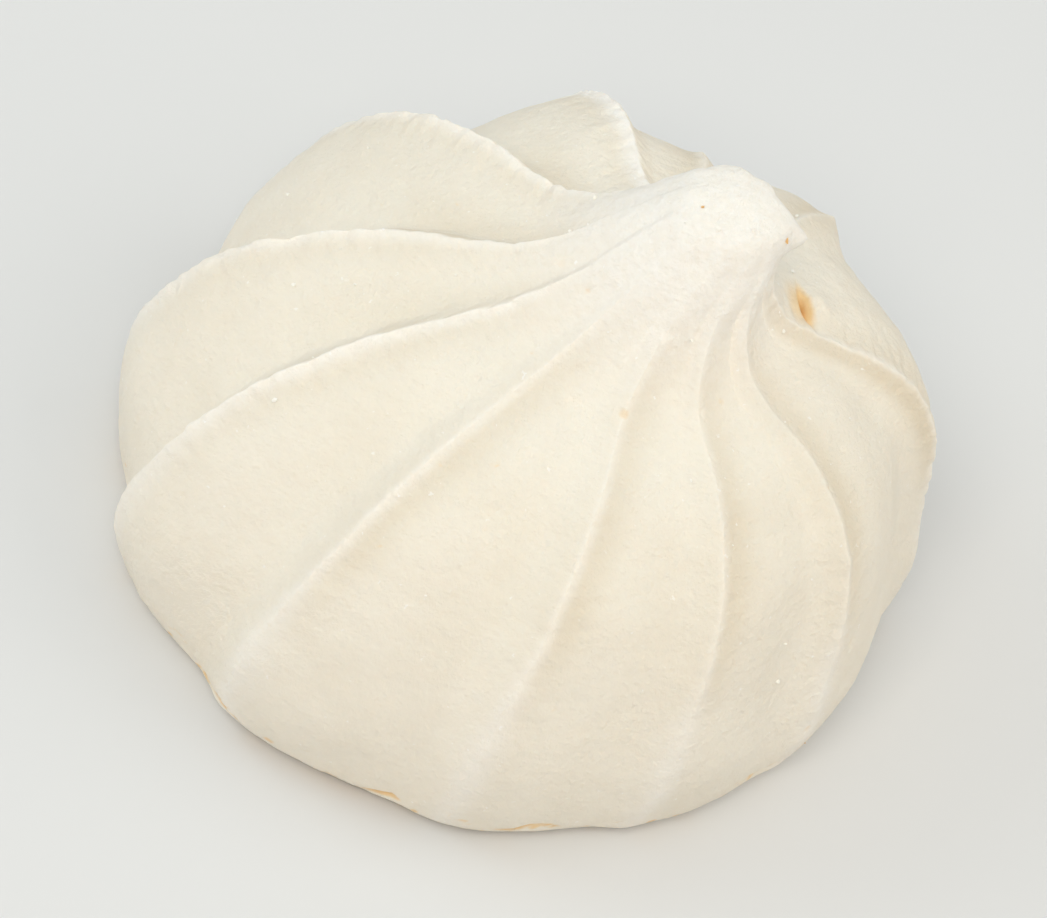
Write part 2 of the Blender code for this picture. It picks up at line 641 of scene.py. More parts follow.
@dataclass
class TornTip(Relief):
    """The beak's end, left blunt as the nozzle was lifted away, with a nub torn out of one side.

    Attributes:
        start: share of the height where the torn end begins.
        depth: how lumpy it is.
        size: size of its lumps.
        dabs: the nub that is drawn out and the bites around it.
    """

    start: float = 0.80
    depth: float = 0.10 * MM
    size: float = 2.1 * MM
    dabs: tuple[Dab, ...] = (
        Dab(10.0, 0.930, 1.05 * MM, 1.35 * MM),
        Dab(38.0, 0.955, 0.75 * MM, -0.55 * MM),
        Dab(352.0, 0.900, 0.70 * MM, -0.25 * MM),
    )

    def push(self, skin: Skin) -> np.ndarray:
        """Makes the end lumpy, draws out the nub and bites around it."""
        torn = self.depth * smooth_step(skin.height, self.start, 0.97)
        lumps = foam_noise(skin.points, self.size, 6) + 0.3 * foam_noise(skin.points, self.size / 3.0, 7)
        moved = (torn * lumps)[..., None] * skin.normals
        moved[..., 2] = np.minimum(moved[..., 2], 0.0)
        for dab in self.dabs:
            gap = np.linalg.norm(skin.points - skin.at(dab.bearing, dab.height), axis=-1)
            turn = math.radians(dab.bearing)
            out = np.array((math.cos(turn), math.sin(turn), 0.0))
            moved = moved + (dab.push * np.exp(-((gap / dab.radius) ** 1.5)))[..., None] * out
        return moved


@dataclass
class SugarPit(Relief):
    """A small burst bubble with burnt sugar in it, in the side of a lump.

    Attributes:
        bearing: where it is, in degrees.
        height: where it is, as a share of the height.
        length: length of the slot.
        width: width of the slot.
        depth: depth of the slot.
        turn: the slot's direction seen from above, in degrees.
        lump: height of the lump that it opened in.
        lump_radius: radius of the lump.
    """

    bearing: float = 18.0
    height: float = 0.704
    length: float = 2.6 * MM
    width: float = 0.56 * MM
    depth: float = 0.55 * MM
    turn: float = -61.0
    lump: float = 0.42 * MM
    lump_radius: float = 1.5 * MM

    def gaps(self, skin: Skin) -> tuple[np.ndarray, np.ndarray]:
        """Distances from the slot, along it and across it, as shares of its half length and half width."""
        away = skin.points - skin.at(self.bearing, self.height)
        turn = math.radians(self.turn)
        along = away[..., 0] * math.cos(turn) + away[..., 1] * math.sin(turn)
        across = -away[..., 0] * math.sin(turn) + away[..., 1] * math.cos(turn)
        far = np.abs(away[..., 2]) / self.length
        return np.hypot(along / (self.length / 2.0), far), across / (self.width / 2.0)

    def push(self, skin: Skin) -> np.ndarray:
        """Raises the lump and opens the slot in it."""
        along, across = self.gaps(skin)
        slot = np.exp(-((along**2 + across**2) ** 1.2))
        along, across = along * self.length / 2.0, across * self.width / 2.0
        raised = np.zeros(skin.height.shape)
        for down, aside, share, size in ((0.1 * MM, 0.95 * MM, 0.9, 0.5), (0.7 * MM, 1.4 * MM, 0.5, 0.9)):
            gap = np.hypot(along - down, across - aside) / (size * self.lump_radius)
            raised = raised + share * np.exp(-(gap**2))
        return (self.lump * raised - self.depth * slot)[..., None] * skin.normals

    def caramel(self, skin: Skin) -> np.ndarray:
        """Fills the slot with burnt sugar, palest at its lips."""
        along, across = self.gaps(skin)
        slot = np.exp(-((0.85 * along) ** 2 + (0.8 * across) ** 2))
        stain = 0.34 * np.exp(-((0.65 * along) ** 2 + (0.38 * (across + 1.8)) ** 2))
        return np.maximum(0.8 * slot, stain)


@dataclass
class RimCrack(Relief):
    """A thin crack just above the tray, where sugar syrup wept out and browned.

    Attributes:
        height: how far above the tray it runs.
        wander: how far it strays up and down.
        width: its width.
        depth: its depth.
        share: roughly how much of the rim is cracked.
    """

    height: float = 0.85 * MM
    wander: float = 0.55 * MM
    width: float = 0.42 * MM
    depth: float = 0.30 * MM
    share: float = 0.56

    def line(self, skin: Skin, rise: float, share: float, seed: int) -> np.ndarray:
        """How open one crack is at each point.

        Args:
            skin: the smooth skin.
            rise: how high and how far astray it runs, as a multiple of the main crack.
            share: roughly how much of the rim it crosses.
            seed: which path it takes.

        Returns:
            From 0, shut, to 1, open.
        """
        around = skin.flow * np.array((1.0, 1.0, 0.0))
        path = self.height + self.wander * foam_noise(around, 4.2 * MM, seed)
        path = rise * (path + 0.35 * self.wander * foam_noise(around, 1.1 * MM, seed + 1))
        gap = (skin.side.along[:, None] - path) / (self.width / 2.0)
        return np.exp(-(gap**2)) * smooth_step(foam_noise(around, 13.0 * MM / rise, seed + 2), 0.5 - share, 0.75 - share)

    def strength(self, skin: Skin) -> np.ndarray:
        """How open the crack and its branches are at each point, from 0 to 1."""
        return np.maximum(self.line(skin, 1.0, self.share, 8), 0.7 * self.line(skin, 2.1, 0.30, 15))

    def push(self, skin: Skin) -> np.ndarray:
        """Opens the crack."""
        return -(self.depth * self.strength(skin))[..., None] * skin.normals

    def caramel(self, skin: Skin) -> np.ndarray:
        """Browns the crack in some places more than in others."""
        patchy = smooth_step(foam_noise(skin.flow, 3.0 * MM, 11), -0.8, 0.4)
        flecks = smooth_step(foam_noise(skin.flow, 0.8 * MM, 18), 0.56, 0.84)
        flecks = 0.55 * flecks * smooth_step(skin.side.along, 4.5 * MM, 1.0 * MM)[:, None]
        return np.maximum(self.strength(skin) * patchy, flecks)


@dataclass
class Pores(Relief):
    """Small burst bubbles, scattered over the skin.

    Attributes:
        count: how many there are.
        radius: the smallest and the largest radius.
        depth: depth, as a share of the radius.
        stained: share of them that hold a little burnt sugar.
        seed: which scatter is drawn.
    """

    count: int = 110
    radius: tuple[float, float] = (0.18 * MM, 0.40 * MM)
    depth: float = 0.40
    stained: float = 0.5
    seed: int = 21

    def scatter(self, skin: Skin) -> Iterator[tuple[float, float, np.ndarray]]:
        """Draws the pores.

        Args:
            skin: the smooth skin.

        Yields:
            Each pore's radius, its stain, and how deep in it each point of the skin lies, from 0 to 1.
        """
        draw = random.Random(self.seed)
        rings, columns = skin.height.shape
        for _ in range(self.count):
            centre = skin.points[draw.randrange(8, rings - 40), draw.randrange(columns)]
            size = self.radius[0] + (self.radius[1] - self.radius[0]) * draw.random() ** 2.5
            stain = 0.24 * draw.random() if draw.random() < self.stained else 0.0
            gap = np.linalg.norm(skin.points - centre, axis=-1) / size
            yield size, stain, np.exp(-(gap**4))

    def push(self, skin: Skin) -> np.ndarray:
        """Presses each pore into the skin."""
        pressed = np.zeros(skin.height.shape)
        for size, _, inside in self.scatter(skin):
            pressed = np.maximum(pressed, self.depth * size * inside)
        return -pressed[..., None] * skin.normals

    def caramel(self, skin: Skin) -> np.ndarray:
        """Tints some of the pores."""
        tinted = np.zeros(skin.height.shape)
        for _, stain, inside in self.scatter(skin):
            tinted = np.maximum(tinted, stain * inside)
        return tinted


@dataclass(frozen=True)
class Area:
    """A soft light: where it stands, what it points at, its size in metres and its power in watts."""

    place: tuple[float, float, float]
    size: float
    power: float
    tint: tuple[float, float, float] = (1.0, 1.0, 1.0)


class NodeBench:
    """A material's node tree, with short calls for adding and joining nodes."""

    def __init__(self, name: str) -> None:
        """Starts a material that holds a Principled shader and its output."""
        self.material = bpy.data.materials.new(name)
        self.material.use_nodes = True
        self.tree = self.material.node_tree
        self.shader = self.tree.nodes["Principled BSDF"]

    def add(self, kind: str, **settings: object) -> bpy.types.Node:
        """Adds a node and sets its plain properties."""
        node = self.tree.nodes.new(kind)
        for key, value in settings.items():
            setattr(node, key, value)
        return node

    def feed(self, socket: bpy.types.NodeSocket, value: object) -> None:
        """Joins a socket to another, or sets its value."""
        if isinstance(value, bpy.types.NodeSocket):
            self.tree.links.new(value, socket)
        else:
            socket.default_value = value

    def mark(self, mark: Mark) -> bpy.types.NodeSocket:
        """Reads one of the mesh's per-point values."""
        node = self.add("ShaderNodeAttribute", attribute_name=mark.value)
        return node.outputs["Vector" if mark is Mark.FLOW else "Fac"]

    def place(self) -> bpy.types.NodeSocket:
        """The point in the object's own metres."""
        return self.add("ShaderNodeTexCoord").outputs["Object"]

    def stretch(self, vector: bpy.types.NodeSocket, scale: tuple[float, float, float]) -> bpy.types.NodeSocket:
        """Scales a vector by axis."""
        node = self.add("ShaderNodeMapping")
        self.feed(node.inputs["Vector"], vector)
        self.feed(node.inputs["Scale"], scale)
        return node.outputs["Vector"]

    def grain(
        self, vector: bpy.types.NodeSocket, wavelength: float, detail: float = 2.0, rough: float = 0.5
    ) -> bpy.types.NodeSocket:
        """Cloudy noise.

        Args:
            vector: where to read it, in metres.
            wavelength: the size of its lumps, in metres.
            detail: how many finer layers it has.
            rough: how strong the finer layers are.

        Returns:
            A value around 0.5.
        """
        node = self.add("ShaderNodeTexNoise")
        self.feed(node.inputs["Vector"], vector)
        self.feed(node.inputs["Scale"], 1.0 / wavelength)
        self.feed(node.inputs["Detail"], detail)
        self.feed(node.inputs["Roughness"], rough)
        return node.outputs["Fac"]

    def sum(self, operation: str, first: object, second: object, clamp: bool = False) -> bpy.types.NodeSocket:
        """Works out one value from two."""
        node = self.add("ShaderNodeMath", operation=operation, use_clamp=clamp)
        self.feed(node.inputs[0], first)
        self.feed(node.inputs[1], second)
        return node.outputs["Value"]

    def remap(
        self, value: bpy.types.NodeSocket, low: float, high: float, to_low: float = 0.0, to_high: float = 1.0
    ) -> bpy.types.NodeSocket:
        """Eases a value from one range to another, held inside it."""
        node = self.add("ShaderNodeMapRange", interpolation_type="SMOOTHSTEP")
        self.feed(node.inputs["Value"], value)
        for name, number in (("From Min", low), ("From Max", high), ("To Min", to_low), ("To Max", to_high)):
            self.feed(node.inputs[name], number)
        return node.outputs["Result"]

    def blend(self, amount: bpy.types.NodeSocket, under: object, over: object) -> bpy.types.NodeSocket:
        """Lays one colour over another.

        Args:
            amount: how much of the upper colour shows.
            under: the lower colour, or a socket that gives it.
            over: the upper colour, or a socket that gives it.

        Returns:
            The mixed colour.
        """
        node = self.add("ShaderNodeMix", data_type="RGBA")
        self.feed(node.inputs["Factor"], amount)
        for socket, value in ((node.inputs[6], under), (node.inputs[7], over)):
            self.feed(socket, value if isinstance(value, bpy.types.NodeSocket) else (*value, 1.0))
        return node.outputs[2]

    def raise_by(self, height: bpy.types.NodeSocket, distance: float, strength: float) -> bpy.types.NodeSocket:
        """Turns a height into a bumped normal."""
        node = self.add("ShaderNodeBump")
        self.feed(node.inputs["Height"], height)
        self.feed(node.inputs["Distance"], distance)
        self.feed(node.inputs["Strength"], strength)
        return node.outputs["Normal"]


Colour = tuple[float, float, float]


@dataclass(frozen=True)
class BakedFoam:
    """The finish of the cookie: ivory foam, dry, dusty and a little see-through.

    Attributes:
        ivory: the open faces.
        cream_and_painted_shade: the painted shade in the grooves, beside the crests and at the beak's root, and the
            cloudy, warmer patches of the foam.
        powder: the dry, crumbly crests, and the whitening of the beak towards its end.
        toast: the underside, which lay on the hot tray.
        caramel: burnt sugar.
        amber: the pale edge of burnt sugar.
    """

    ivory: Colour = (0.890, 0.842, 0.735)
    cream_and_painted_shade: Colour = (0.770, 0.690, 0.550)
    powder: Colour = (0.972, 0.958, 0.918)
    toast: Colour = (0.855, 0.755, 0.605)
    caramel: Colour = (0.640, 0.330, 0.100)
    amber: Colour = (0.860, 0.640, 0.360)
    roughness: float = 0.84
    depth: float = 0.5 * MM

    def colour(self, bench: NodeBench) -> bpy.types.NodeSocket:
        """Mixes the colour of the foam.

        Args:
            bench: the material's nodes.

        Returns:
            The colour.
        """
        place = bench.place()
        clouds = bench.remap(bench.grain(place, 6.0 * MM, 3.0), 0.35, 0.68)
        # Painted shade: this mark darkens and warms the foam in the grooves, beside the crests and at the beak's
        # root; the cloudy noise adds the foam's own uneven tone.
        painted_shade = bench.mark(Mark.PAINTED_GROOVE_SHADE)
        painted_shade_and_tone = bench.sum("ADD", painted_shade, bench.sum("MULTIPLY", clouds, 0.18), True)
        colour = bench.blend(painted_shade_and_tone, self.ivory, self.cream_and_painted_shade)
        patchy = bench.remap(bench.grain(place, 0.6 * MM, 4.0, 0.65), 0.36, 0.64, 0.75, 1.0)
        dust = bench.sum("MULTIPLY", bench.mark(Mark.CREST), patchy)
        specks = bench.remap(bench.grain(place, 0.5 * MM, 2.0, 0.6), 0.70, 0.76, 0.0, 0.6)
        colour = bench.blend(bench.sum("ADD", dust, specks, True), colour, self.powder)
        tray = bench.remap(bench.grain(place, 2.4 * MM, 4.0, 0.6), 0.3, 0.75, 0.55, 1.0)
        tray = bench.sum("MULTIPLY", bench.mark(Mark.UNDERSIDE), tray)
        colour = bench.blend(tray, colour, self.toast)
        burnt = bench.mark(Mark.CARAMEL)
        colour = bench.blend(bench.remap(burnt, 0.05, 0.45), colour, self.amber)
        return bench.blend(bench.remap(burnt, 0.45, 0.95), colour, self.caramel)

    def normal(self, bench: NodeBench) -> bpy.types.NodeSocket:
        """The fine grain that is too small for the mesh.

        Args:
            bench: the material's nodes.

        Returns:
            The bumped normal.
        """
        place, flow = bench.place(), bench.mark(Mark.FLOW)
        drag = bench.grain(bench.stretch(flow, (0.55, 0.55, 1.0)), 0.45 * MM, 2.0, 0.5)
        grain = bench.grain(place, 0.26 * MM, 3.0, 0.7)
        clumps = bench.sum("MULTIPLY", bench.grain(place, 0.6 * MM, 2.0, 0.6), bench.mark(Mark.CREST))
        height = bench.sum("ADD", bench.sum("MULTIPLY", drag, 0.25), bench.sum("MULTIPLY", grain, 1.0))
        height = bench.sum("ADD", height, bench.sum("MULTIPLY", clumps, 0.5))
        peel = bench.grain(place, 0.62 * MM, 1.0, 0.5)
        height = bench.sum("ADD", height, bench.sum("MULTIPLY", peel, 1.1))
        return bench.raise_by(height, 0.13 * MM, 0.9)

    def material(self) -> bpy.types.Material:
        """Makes the material."""
        bench = NodeBench("baked_foam")
        inputs = bench.shader.inputs
        bench.feed(inputs["Base Color"], self.colour(bench))
        bench.feed(inputs["Normal"], self.normal(bench))
        rough = bench.remap(bench.grain(bench.place(), 1.3 * MM, 3.0), 0.3, 0.7, self.roughness - 0.08, 0.92)
        wet = bench.remap(bench.mark(Mark.CARAMEL), 0.4, 0.9)
        bench.feed(inputs["Roughness"], bench.sum("SUBTRACT", rough, bench.sum("MULTIPLY", wet, 0.45), True))
        inputs["Specular IOR Level"].default_value = 0.28
        bench.shader.subsurface_method = "BURLEY"
        inputs["Subsurface Weight"].default_value = 0.55
        inputs["Subsurface Radius"].default_value = (1.0, 0.62, 0.36)
        inputs["Subsurface Scale"].default_value = self.depth
        return bench.material


@dataclass(frozen=True)
class DryCrumb:
    """The plain finish of a grain. The values given here are those of dry foam."""

    name: str = "dry_foam"
    colour: Colour = (0.955, 0.930, 0.870)
    roughness: float = 0.9

    def material(self) -> bpy.types.Material:
        """Makes the material."""
        bench = NodeBench(self.name)
        bench.shader.inputs["Base Color"].default_value = (*self.colour, 1.0)
        bench.shader.inputs["Roughness"].default_value = self.roughness
        bench.shader.inputs["Specular IOR Level"].default_value = 0.2
        return bench.material


@dataclass(frozen=True)
class PaleTable:
    """The finish of the table: plain and pale."""

    colour: Colour = (0.74, 0.75, 0.76)

    def material(self) -> bpy.types.Material:
        """Makes the material."""
        bench = NodeBench("pale_table")
        shade = bench.remap(bench.grain(bench.place(), 0.12, 2.0), 0.3, 0.7, 0.0, 0.12)
        darker = tuple(0.93 * value for value in self.colour)
        bench.feed(bench.shader.inputs["Base Color"], bench.blend(shade, self.colour, darker))
        bench.shader.inputs["Roughness"].default_value = 0.7
        bench.shader.inputs["Specular IOR Level"].default_value = 0.2
        return bench.material


@dataclass
class Meringue:
    """The cookie itself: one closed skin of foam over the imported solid.

    Attributes:
        form: the piped form.
        spacing: how densely its points stand.
        reliefs: what stands on the skin or is cut into it.
        finish: its material.
        crest_width: how far the dust reaches from a crest, down the steep flank and down the gentle one.
        hollow: how far the underside curves up off the tray.
    """

    form: PipedForm = field(default_factory=PipedForm)
    spacing: Spacing = field(default_factory=Spacing)
    reliefs: tuple[Relief, ...] = (
        FoamSwell(),
        CrestEdge(),
        FlankHollow(),
        DragRipples(),
        TornTip(),
        SugarPit(),
        RimCrack(),
        Pores(),
    )
    finish: BakedFoam = field(default_factory=BakedFoam)
    crest_width: tuple[float, float] = (0.25 * MM, 0.75 * MM)
    hollow: float = 0.25 * MM
    inward: tuple[float, ...] = (0.985, 0.965, 0.94, 0.91, 0.87, 0.80, 0.62, 0.32)

    def skin(self) -> Skin:
        """Lays the smooth skin in the frame's box for the cookie."""
        return Skin.over(self.form, self.spacing, *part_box(NODE))

    def relieved(self, skin: Skin) -> np.ndarray:
        """The skin's points with every relief on them, none below the tray or over the top."""
        points = skin.points + sum(relief.push(skin) for relief in self.reliefs)
        points[0, :, 2] = skin.points[0, :, 2]
        points[..., 2] = np.clip(points[..., 2], skin.points[0, 0, 2], self.form.height)
        return points

    def underside(self, rim: np.ndarray) -> np.ndarray:
        """The rings of the underside, from the rim inward.

        Args:
            rim: the lowest ring of the side.

        Returns:
            An array of rings by columns by x, y and z.
        """
        middle = rim.mean(0)
        share = np.array(self.inward)[:, None, None]
        rings = middle + (rim - middle) * share
        dents = 0.5 + 0.5 * foam_noise(rings, 3.5 * MM, 12)
        rings[..., 2] += self.hollow * (1.0 - share[..., 0] ** 4) * (0.6 + 0.4 * dents)
        return rings

    def marks(self, skin: Skin, under: np.ndarray) -> dict[Mark, np.ndarray]:
        """Works out what the finish reads at each point.

        Args:
            skin: the smooth skin.
            under: the underside's rings.

        Returns:
            For each mark, its values in the order of the mesh's points.
        """
        burnt = np.max([relief.caramel(skin) for relief in self.reliefs], axis=0)
        flecks = foam_noise(under, 1.3 * MM, 13) * smooth_step(np.array(self.inward), 0.78, 0.96)[:, None]
        past = skin.from_crest / MM
        share = skin.height
        wall = smooth_step(share, 0.55, 0.25)
        width = np.where(past < 0.0, self.crest_width[0], self.crest_width[1] * (0.4 + skin.columns.powder)) / MM
        depth = np.clip(skin.side.groove / (1.2 * MM), 0.0, 1.0)[:, None]
        crest = np.exp(-((past / (width + 0.7 * wall)) ** 2)) * depth
        crest = crest * (skin.columns.powder * (1.0 - wall) + 0.45 * wall)
        # From about 62% of the height up, the whole beak is whitened towards the powder colour, most at the top.
        crest = np.maximum(crest, 0.8 * smooth_step(share, 0.62, 0.90))
        # Painted shade, read by the finish through the groove mark: darker on the steep flank just under each crest,
        # on the gentle flank just past it, and in deep grooves at the beak's root, strongest between about 60% and
        # 76% of the height.
        belt = smooth_step(share, 0.25, 0.60) * smooth_step(share, 0.90, 0.76)
        painted_shade_below_crest = np.exp(-(((past + 0.55) / 0.75) ** 2)) * smooth_step(past, 0.0, -0.2) * skin.columns.painted_shade
        soft = 0.25 + 0.5 * (1.0 - skin.columns.edge)
        # Shade painted on the gentle flank just past each crest, strongest on soft ridges.
        beside = soft * np.exp(-(((past - 0.8) / 1.5) ** 2)) * smooth_step(past, -0.1, 0.7)
        painted_neck_shade = 0.75 * skin.columns.fallen * smooth_step(share, 0.58, 0.70)
        groove = np.maximum(np.maximum(painted_shade_below_crest, beside), painted_neck_shade) * (0.1 + 0.9 * belt)
        flow_under = under.copy()
        return {
            Mark.CREST: self.per_point(crest, 0.5, np.zeros(under.shape[:2]), 0.0),
            Mark.PAINTED_GROOVE_SHADE: self.per_point(groove, 0.0, np.zeros(under.shape[:2]), 0.0),
            Mark.CARAMEL: self.per_point(burnt, 0.0, 0.62 * smooth_step(flecks, 0.42, 0.85), 0.0),
            Mark.UNDERSIDE: self.per_point(
                np.broadcast_to(smooth_step(skin.side.along, 0.9 * MM, 0.0)[:, None], crest.shape),
                0.0, np.ones(under.shape[:2]), 1.0),
            Mark.FLOW: self.per_point(skin.flow, np.array((0.0, 0.0, skin.side.along[-1])), flow_under, np.zeros(3)),
        }

    @staticmethod
    def per_point(side: np.ndarray, tip: object, under: np.ndarray, centre: object) -> np.ndarray:
        """Puts values in the order of the mesh's points: side, tip, underside, centre."""
        width = side.shape[2] if side.ndim == 3 else 1
        rows = [np.reshape(part, (-1, width)) for part in (side, tip, under, centre)]
        return np.concatenate(rows)

    def mesh(self, skin: Skin) -> bpy.types.Mesh:
        """Sews the skin, the tip and the underside into one closed mesh with its marks.

        Args:
            skin: the smooth skin.

        Returns:
            The mesh.
        """
        points = self.relieved(skin)
        under = self.underside(points[0])
        tip = points[-1].mean(0)
        tip[2] = min(tip[2] + 0.05 * MM, self.form.height)
        centre = under[-1].mean(0)
        rings, columns = points.shape[:2]
        vertices = self.per_point(points, tip, under, centre)
        side_ids = np.arange(rings * columns).reshape(rings, columns)
        tip_id = rings * columns
        under_ids = tip_id + 1 + np.arange(under.shape[0] * columns).reshape(-1, columns)
        centre_id = len(vertices) - 1
        faces = quads(side_ids) + quads(np.vstack((side_ids[:1], under_ids))[::-1])
        for i in range(columns):
            j = (i + 1) % columns
            faces.append((int(side_ids[-1, i]), int(side_ids[-1, j]), tip_id))
            faces.append((int(under_ids[-1, j]), int(under_ids[-1, i]), centre_id))
        mesh = bpy.data.meshes.new("meringue_skin")
        mesh.from_pydata(vertices.tolist(), [], faces)
        for mark, values in self.marks(skin, under).items():
            kind, key = ("FLOAT_VECTOR", "vector") if mark is Mark.FLOW else ("FLOAT", "value")
            attribute = mesh.attributes.new(mark.value, kind, "POINT")
            attribute.data.foreach_set(key, np.ascontiguousarray(values, dtype=np.float32).ravel())
        mesh.shade_smooth()
        mesh.set_sharp_from_angle(angle=math.radians(62.0))
        return mesh

    def build(self, skin: Skin) -> bpy.types.Object:
        """Makes the piece and puts it in the cookie's place.

        Args:
            skin: the smooth skin.

        Returns:
            The piece.
        """
        piece = bpy.data.objects.new("meringue_skin", self.mesh(skin))
        piece.data.materials.append(self.finish.material())
        bpy.context.scene.collection.objects.link(piece)
        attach(piece, BODY)
        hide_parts(NODE)
        return piece


def quads(ids: np.ndarray) -> list[tuple[int, int, int, int]]:
    """Faces between neighbouring rings of points.

    Args:
        ids: rings by columns of point numbers.

    Returns:
        Four point numbers a face, facing out where the rings rise.
    """
    low, high = ids[:-1], ids[1:]
    corners = (low, np.roll(low, -1, axis=1), np.roll(high, -1, axis=1), high)
    return [tuple(face) for face in np.stack(corners, axis=-1).reshape(-1, 4).tolist()]


@dataclass
class Crumbs:
    """Grains that cling to the cookie, joined into one piece.

    Attributes:
        name: the piece's name.
        finish: the grains' material.
        radius: the smallest and the largest radius.
        seed: which scatter is drawn.
    """

    name: str
    finish: DryCrumb
    radius: tuple[float, float]
    seed: int

    def spots(self, host: bpy.types.Object, skin: Skin, draw: random.Random) -> Iterator[tuple[int, float]]:
        """Chooses where the grains stick.

        Args:
            host: the cookie.
            skin: the smooth skin that the cookie was made from.
            draw: where chance comes from.

        Yields:
            The number of a point on the host, and a grain's radius.
        """
        raise NotImplementedError

    def grain(self, draw: random.Random, centre: Vector, size: float) -> bmesh.types.BMesh:
        """Makes one uneven grain.

        Args:
            draw: where its shape comes from.
            centre: its place.
            size: its radius.

        Returns:
            The grain.
        """
        crumb = bmesh.new()
        bmesh.ops.create_icosphere(crumb, subdivisions=1, radius=1.0)
        shift = Vector((draw.uniform(0.0, 90.0), draw.uniform(0.0, 90.0), draw.uniform(0.0, 90.0)))
        stretch = Vector((draw.uniform(0.7, 1.3), draw.uniform(0.7, 1.3), draw.uniform(0.6, 1.0)))
        turn = Matrix.Rotation(draw.uniform(0.0, math.tau), 3, Vector((draw.random(), draw.random(), 1.0)))
        for vertex in crumb.verts:
            lumpy = draw.uniform(0.7, 1.1) + 0.4 * noise.noise(vertex.co * 1.7 + shift)
            vertex.co = centre + turn @ (vertex.co * stretch * lumpy * size)
        return crumb

    def build(self, host: bpy.types.Object, skin: Skin) -> bpy.types.Object:
        """Sticks the grains to the host.

        Args:
            host: the cookie.
            skin: the smooth skin that the cookie was made from.

        Returns:
            The piece.
        """
        draw = random.Random(self.seed)
        whole = bmesh.new()
        for index, size in self.spots(host, skin, draw):
            vertex = host.data.vertices[index]
            crumb = self.grain(draw, vertex.co + vertex.normal * 0.25 * size, size)
            part = bpy.data.meshes.new("grain")
            crumb.to_mesh(part)
            crumb.free()
            whole.from_mesh(part)
            bpy.data.meshes.remove(part)
        joined = bpy.data.meshes.new(self.name)
        whole.to_mesh(joined)
        whole.free()
        piece = bpy.data.objects.new(self.name, joined)
        piece.data.materials.append(self.finish.material())
        bpy.context.scene.collection.objects.link(piece)
        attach(piece, BODY)
        return piece


@dataclass
class FoamCrumbs(Crumbs):
    """Crumbs of broken foam, scattered all over.

    Attributes:
        count: how many there are.
    """

    name: str = "foam_crumbs"
    finish: DryCrumb = field(default_factory=DryCrumb)
    radius: tuple[float, float] = (0.09 * MM, 0.22 * MM)
    seed: int = 5
    count: int = 40

    def spots(self, host: bpy.types.Object, skin: Skin, draw: random.Random) -> Iterator[tuple[int, float]]:
        """Chooses spots anywhere above the rim, most of them for small crumbs."""
        vertices = host.data.vertices
        low, high = self.radius
        for _ in range(self.count):
            index = draw.randrange(len(vertices))
            while vertices[index].normal.z < -0.2 or vertices[index].co.z < 1.0 * MM:
                index = draw.randrange(len(vertices))
            yield index, low + (high - low) * draw.random() ** 3


@dataclass
class SugarFlecks(Crumbs):
    """Specks of burnt sugar: two on the beak's end, others near the rim.

    Attributes:
        named: bearing in degrees, share of the height and radius of each speck with a place of its own.
        count: how many more there are near the rim.
        reach: how far up the rim these stand.
    """

    name: str = "sugar_flecks"
    finish: DryCrumb = field(default_factory=lambda: DryCrumb("burnt_sugar", (0.78, 0.49, 0.22), 0.45))
    radius: tuple[float, float] = (0.07 * MM, 0.17 * MM)
    seed: int = 12
    named: tuple[tuple[float, float, float], ...] = (
        (210.0, 0.987, 0.16 * MM),
        (350.0, 0.957, 0.18 * MM),
    )
    count: int = 12
    reach: float = 3.5 * MM

    def spots(self, host: bpy.types.Object, skin: Skin, draw: random.Random) -> Iterator[tuple[int, float]]:
        """Takes the named spots first, and then draws the ones near the rim."""
        points = np.empty(len(host.data.vertices) * 3)
        host.data.vertices.foreach_get("co", points)
        points = points.reshape(-1, 3)
        for bearing, height, size in self.named:
            yield int(np.argmin(np.linalg.norm(points - skin.at(bearing, height), axis=1))), size
        low_points = np.flatnonzero((points[:, 2] > 0.3 * MM) & (points[:, 2] < self.reach))
        low, high = self.radius
        for _ in range(self.count):
            yield int(low_points[draw.randrange(len(low_points))]), low + (high - low) * draw.random() ** 2


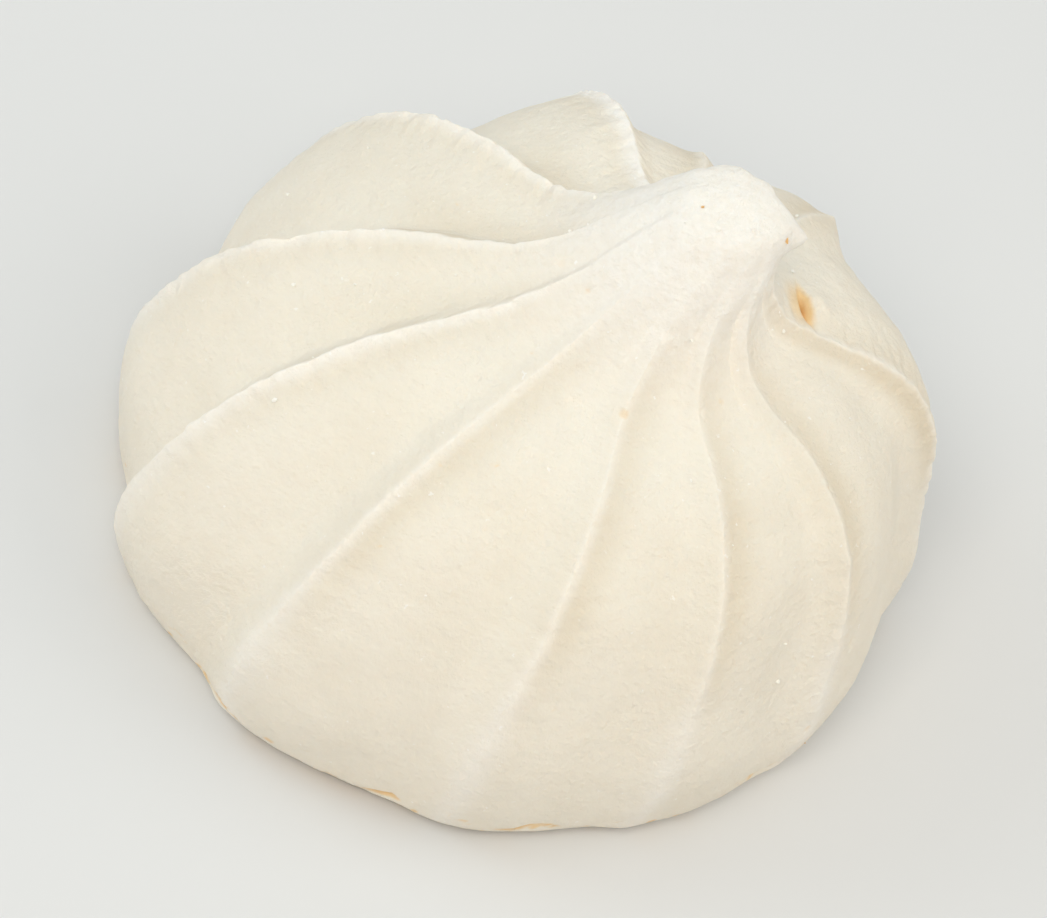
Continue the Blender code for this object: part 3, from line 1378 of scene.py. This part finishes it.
@dataclass
class Studio:
    """The pale table, the soft light and the camera.

    Attributes:
        elevation: how steeply the camera looks down, in degrees.
        roll: how far the camera leans, in degrees.
        distance: from the camera to the cookie.
        aim: where the camera looks, right of and above the middle of the cookie's box in the picture.
        fill: share of the picture's width that the cookie takes.
        sensor: width of the camera's sensor, in millimetres.
        sky: strength of the even light from all round.
        horizon: colour of that light low down.
        zenith: colour of that light from straight above.
        areas: the soft lights.
    """

    elevation: float = 48.7
    roll: float = 17.5
    distance: float = 0.6
    aim: tuple[float, float] = (-1.4 * MM, -5.4 * MM)
    fill: float = 0.79
    sensor: float = 36.0
    sky: float = 0.67
    horizon: Colour = (0.84, 0.68, 0.59)
    zenith: Colour = (0.91, 0.98, 1.0)
    areas: tuple[Area, ...] = (
        Area((-0.08, -0.40, 0.55), 0.30, 1.45, (1.0, 0.90, 0.77)),
        Area((0.45, 0.02, 0.40), 0.5, 0.85, (1.0, 0.93, 0.80)),
        Area((-0.48, 0.06, 0.34), 0.4, 0.68, (0.87, 0.97, 1.0)),
    )

    def table(self) -> bpy.types.Object:
        """Lays the table under the cookie."""
        bpy.ops.mesh.primitive_plane_add(size=4.0, location=(0.0, 0.0, CAD_BOUNDS[0][2] - 0.02 * MM))
        table = bpy.context.object
        table.name = "table"
        table.data.materials.append(PaleTable().material())
        return table

    def camera(self) -> bpy.types.Object:
        """Sets the camera, looking at the middle of the cookie.

        Returns:
            The camera.
        """
        low, high = (Vector(corner) for corner in CAD_BOUNDS)
        tilt, roll = math.radians(self.elevation), math.radians(self.roll)
        back = Vector((0.0, -math.cos(tilt), math.sin(tilt)))
        level = Vector((1.0, 0.0, 0.0))
        rise = Vector((0.0, math.sin(tilt), math.cos(tilt)))
        right = level * math.cos(roll) + rise * math.sin(roll)
        up = rise * math.cos(roll) - level * math.sin(roll)
        lens = bpy.data.cameras.new("camera")
        lens.sensor_width = self.sensor
        lens.lens = self.sensor * self.distance * self.fill / (high.x - low.x)
        lens.clip_start, lens.clip_end = 0.01, 20.0
        camera = bpy.data.objects.new("camera", lens)
        turn = Matrix((right, up, back)).transposed().to_4x4()
        turn.translation = (low + high) / 2.0 + right * self.aim[0] + up * self.aim[1] + back * self.distance
        camera.matrix_world = turn
        bpy.context.scene.collection.objects.link(camera)
        bpy.context.scene.camera = camera
        return camera

    def light(self) -> None:
        """Sets the sky and the soft lights."""
        scene = bpy.context.scene
        world = bpy.data.worlds.new("studio")
        world.use_nodes = True
        tree = world.node_tree
        background = tree.nodes["Background"]
        background.inputs["Strength"].default_value = self.sky
        heading = tree.nodes.new("ShaderNodeTexCoord")
        split = tree.nodes.new("ShaderNodeSeparateXYZ")
        ramp = tree.nodes.new("ShaderNodeValToRGB")
        ramp.color_ramp.elements[0].color = (*self.horizon, 1.0)
        ramp.color_ramp.elements[1].color = (*self.zenith, 1.0)
        ramp.color_ramp.elements[1].position = 0.75
        tree.links.new(heading.outputs["Generated"], split.inputs["Vector"])
        tree.links.new(split.outputs["Z"], ramp.inputs["Fac"])
        tree.links.new(ramp.outputs["Color"], background.inputs["Color"])
        scene.world = world
        for i, area in enumerate(self.areas):
            lamp = bpy.data.lights.new(f"soft_light_{i}", "AREA")
            lamp.energy, lamp.size, lamp.color = area.power, area.size, area.tint
            holder = bpy.data.objects.new(f"soft_light_{i}", lamp)
            holder.location = area.place
            holder.rotation_euler = Vector(area.place).to_track_quat("Z", "Y").to_euler()
            scene.collection.objects.link(holder)
        scene.view_settings.view_transform = "Standard"

    def build(self) -> None:
        """Sets the stage."""
        self.camera()
        self.table()
        self.light()


def main() -> None:
    """Builds the pieces in order and reports each."""
    logging.basicConfig(level=logging.INFO, format="%(name)s: %(message)s")
    Studio().build()
    cookie = Meringue()
    skin = cookie.skin()
    host = cookie.build(skin)
    for piece in (host, FoamCrumbs().build(host, skin), SugarFlecks().build(host, skin)):
        log.info("%s: %d points, %d faces", piece.name, len(piece.data.vertices), len(piece.data.polygons))


if __name__ == "__main__":
    main()
